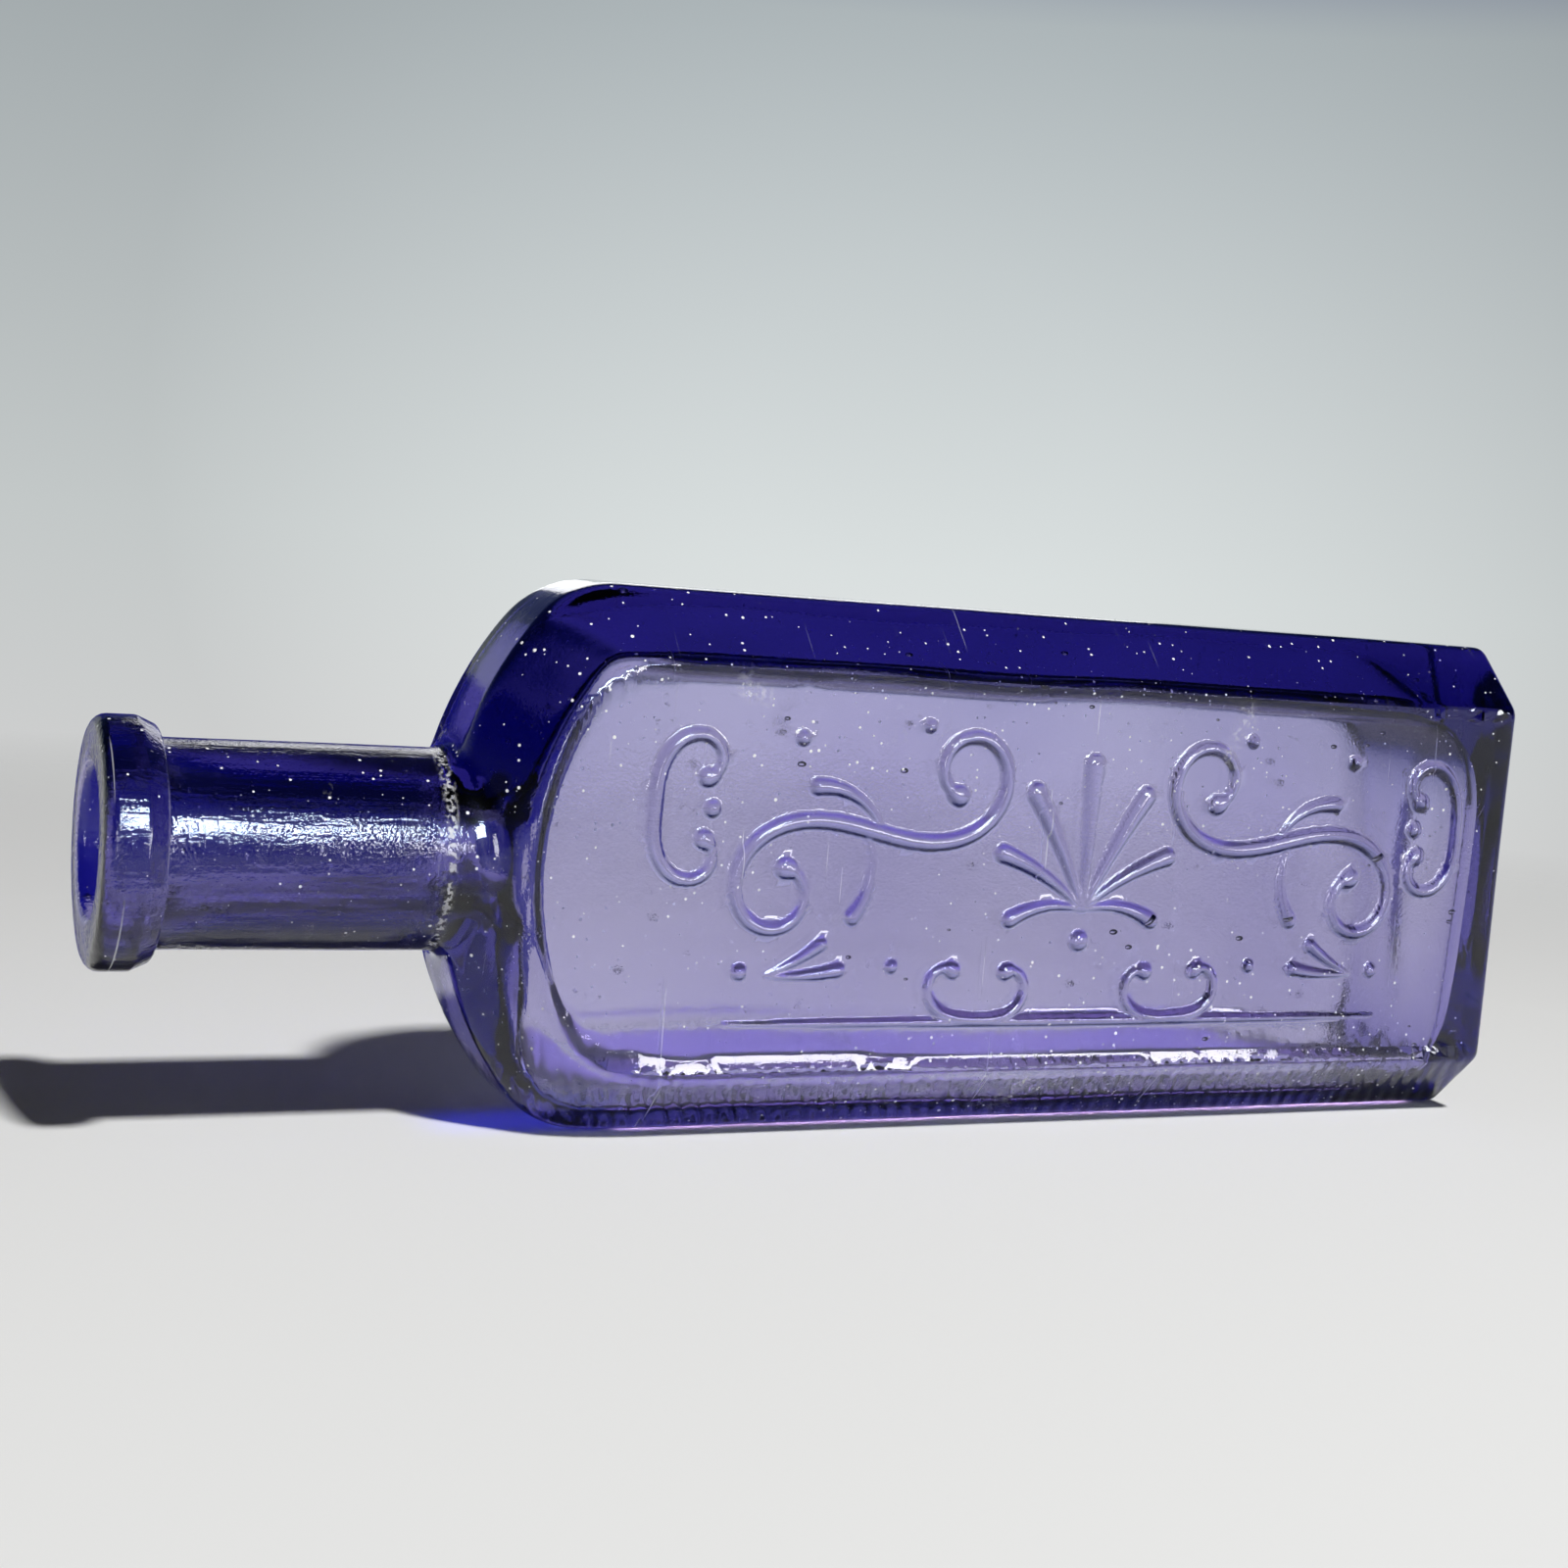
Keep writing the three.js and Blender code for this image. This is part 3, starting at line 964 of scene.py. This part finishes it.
floor = lay_floor()
print("floor of", FLOOR_RADIUS, "m round the bottle")

# %% [markdown]
# ## A dark card
#
# Clear glass in front of a pale background loses its edges, so photographers stand a dark card where only
# the glass sees it. This one is dark blue and stands behind the neck and the shoulder. It throws no shadow,
# and the camera looks past it.

# %% Stand the card
CARD_LEFT, CARD_RIGHT = -0.09, -0.032
CARD_BACK = 0.06
CARD_TOP = 0.06
CARD_COLOUR = (0.01, 0.009, 0.3, 1)


def stand_card():
    corners = [(CARD_LEFT, 0), (CARD_RIGHT, 0), (CARD_RIGHT, CARD_TOP), (CARD_LEFT, CARD_TOP)]
    mesh = bpy.data.meshes.new("dark_card")
    mesh.from_pydata([(along, CARD_BACK, up) for along, up in corners], [], [(0, 1, 2, 3)])
    material = bpy.data.materials.new("dark_card")
    material.use_nodes = True
    shader = material.node_tree.nodes["Principled BSDF"]
    shader.inputs["Base Color"].default_value = CARD_COLOUR
    shader.inputs["Roughness"].default_value = 1
    mesh.materials.append(material)
    card = bpy.data.objects.new("dark_card", mesh)
    bpy.context.scene.collection.objects.link(card)
    card.visible_camera = card.visible_diffuse = card.visible_shadow = False


stand_card()
print("card from", CARD_LEFT, "to", CARD_RIGHT, "m along the bottle")

# %% [markdown]
# ## The background
#
# Behind the bottle lies a soft grey gradient, pale near the floor and brightest in the middle. Glass shows it
# too, so it is kept for the camera, for reflections and for light that passes through, while the light that
# falls on things is plain and even. Overhead it turns dark blue, and in what the glass shows, the room in
# front of the bottle is dark. Both deepen the blue of the thick edges, and the mirrored floor ends in a clear
# line along the neck. The camera itself sees the room in front as pale as the rest.

# %% Fill the background
GRADIENT = (
    (-1.0, (0.74, 0.74, 0.73, 1)),
    (-0.1, (0.78, 0.79, 0.79, 1)),
    (0.0, (0.70, 0.74, 0.74, 1)),
    (0.237, (0.44, 0.49, 0.51, 1)),
    (0.3, (0.09, 0.12, 0.30, 1)),
    (0.4, (0.012, 0.02, 0.075, 1)),
)
BRIGHT_SPOT = Vector((0.46, 0.88, 0.06)).normalized()
SPOT_REACH = (0.945, 0.997)
SPOT_RIM = 0.78
ROOM_SHARE = 0.12
ROOM_FROM = (0.15, -0.25)
ROOM_ABOVE = (-0.02, 0.02)
AMBIENT = 0.04


def fill_background():
    world = bpy.data.worlds.new("studio")
    world.use_nodes = True
    bpy.context.scene.world = world
    tree = world.node_tree
    direction = tree.nodes.new("ShaderNodeTexCoord").outputs["Generated"]
    parts = tree.nodes.new("ShaderNodeSeparateXYZ")
    tree.links.new(direction, parts.inputs["Vector"])
    height = spread(tree, parts.outputs["Z"], -1, 1, 0, 1)
    ramp = tree.nodes.new("ShaderNodeValToRGB")
    tree.links.new(height, ramp.inputs["Fac"])
    stops = ramp.color_ramp.elements
    while len(stops) < len(GRADIENT):
        stops.new(0.5)
    for stop, (level, colour) in zip(stops, GRADIENT):
        stop.position = (level + 1) / 2
        stop.color = colour
    towards = tree.nodes.new("ShaderNodeVectorMath")
    towards.operation = "DOT_PRODUCT"
    towards.inputs[1].default_value = BRIGHT_SPOT
    tree.links.new(direction, towards.inputs[0])
    in_front = spread(tree, parts.outputs["Y"], *ROOM_FROM, 0, 1 - ROOM_SHARE)
    room = combine(tree, "MULTIPLY", in_front, spread(tree, parts.outputs["Z"], *ROOM_ABOVE, 0, 1))
    path = tree.nodes.new("ShaderNodeLightPath")
    not_camera = combine(tree, "SUBTRACT", 1, path.outputs["Is Camera Ray"])
    room = combine(tree, "MULTIPLY", room, not_camera)
    spot = spread(tree, towards.outputs["Value"], *SPOT_REACH, SPOT_RIM, 1)
    seen = tree.nodes["Background"]
    tree.links.new(ramp.outputs["Color"], seen.inputs["Color"])
    level = combine(tree, "MULTIPLY", spot, combine(tree, "SUBTRACT", 1, room))
    tree.links.new(level, seen.inputs["Strength"])
    even = add_node(tree, "ShaderNodeBackground", Strength=AMBIENT)
    even.inputs["Color"].default_value = (1, 1, 1, 1)
    seen_or_mirrored = combine(tree, "MAXIMUM", path.outputs["Is Camera Ray"], path.outputs["Is Glossy Ray"])
    any_view = combine(tree, "MAXIMUM", seen_or_mirrored, path.outputs["Is Transmission Ray"])
    mix = tree.nodes.new("ShaderNodeMixShader")
    tree.links.new(any_view, mix.inputs["Fac"])
    tree.links.new(even.outputs["Background"], mix.inputs[1])
    tree.links.new(seen.outputs["Background"], mix.inputs[2])
    tree.links.new(mix.outputs["Shader"], tree.nodes["World Output"].inputs["Surface"])


fill_background()
print("background of", len(GRADIENT), "levels")

# %% [markdown]
# ## The lamps
#
# One lamp high in front lights everything and throws the shadow. Four others are only mirrored in the glass:
# they draw the streak along the neck and the pale lines on the edges, as windows in a dark room would. Light
# that has passed through a bottle colours the floor round it, which takes very long to work out ray by ray,
# so three small lamps light only the floor there, and the glass does not stand in their way.

# %% Hang the lamps
MIDDLE = (0, 0, 0.03)
WHITE = (1, 1, 1)
# Name, place, size, power and colour of each.
MIRRORED_LAMPS = (
    ("edge", (0.55, -1.05, 0.22), (0.5, 0.2), 6, WHITE),
    ("neck", (0.07, -1.05, 0.54), (0.34, 0.24), 13, (0.72, 0.86, 1)),
    ("left_edge", (-0.4, -1.0, 0.15), (0.15, 0.3), 1.6, WHITE),
    ("far", (0.32, 0.8, 0.4), (0.5, 0.45), 1.4, WHITE),
)
# Name, place on the floor, size, power, colour and spread in degrees of each.
FLOOR_LAMPS = (
    ("under", (0.026, -0.0005), (0.11, 0.01), 0.0095, (0.72, 0.5, 1), 10),
    ("behind", (0.026, 0.03), (0.11, 0.03), 0.011, (0.5, 0.4, 1), 25),
    ("glint", (-0.037, -0.001), (0.024, 0.008), 0.00022, (0.01, 0.02, 1), 25),
)
FLOOR_LAMP_HEIGHT = 0.02


def hang_lamp(name, place, aim, size, power, colour, mirrored):
    """A lamp that either lights what is rough or is seen in what is smooth."""
    data = bpy.data.lights.new(name, "AREA")
    data.shape = "RECTANGLE"
    data.size, data.size_y = size
    data.energy = power
    data.color = colour
    lamp = bpy.data.objects.new(name, data)
    lamp.location = place
    lamp.rotation_mode = "QUATERNION"
    lamp.rotation_quaternion = (Vector(aim) - Vector(place)).to_track_quat("-Z", "Y")
    lamp.visible_camera = lamp.visible_transmission = False
    lamp.visible_diffuse = not mirrored
    lamp.visible_glossy = mirrored
    bpy.context.scene.collection.objects.link(lamp)
    return lamp


def hang_lamps():
    hang_lamp("key", (0.08, -0.6, 1.04), MIDDLE, (0.1, 0.1), 14.5, WHITE, False)
    for name, place, size, power, colour in MIRRORED_LAMPS:
        hang_lamp(name, place, MIDDLE, size, power, colour, True)
    floor_only = bpy.data.collections.new("floor_only")
    floor_only.objects.link(floor)
    for name, place, size, power, colour, spread_angle in FLOOR_LAMPS:
        lamp = hang_lamp(name, (*place, FLOOR_LAMP_HEIGHT), (*place, 0), size, power, colour, False)
        lamp.data.spread = math.radians(spread_angle)
        lamp.light_linking.receiver_collection = floor_only
        lamp.light_linking.blocker_collection = floor_only


hang_lamps()
print(1 + len(MIRRORED_LAMPS) + len(FLOOR_LAMPS), "lamps")

# %% [markdown]
# ## Last look
#
# Colours are shown as they are.

# %% Show the colours as they are
bpy.context.scene.view_settings.view_transform = "Standard"
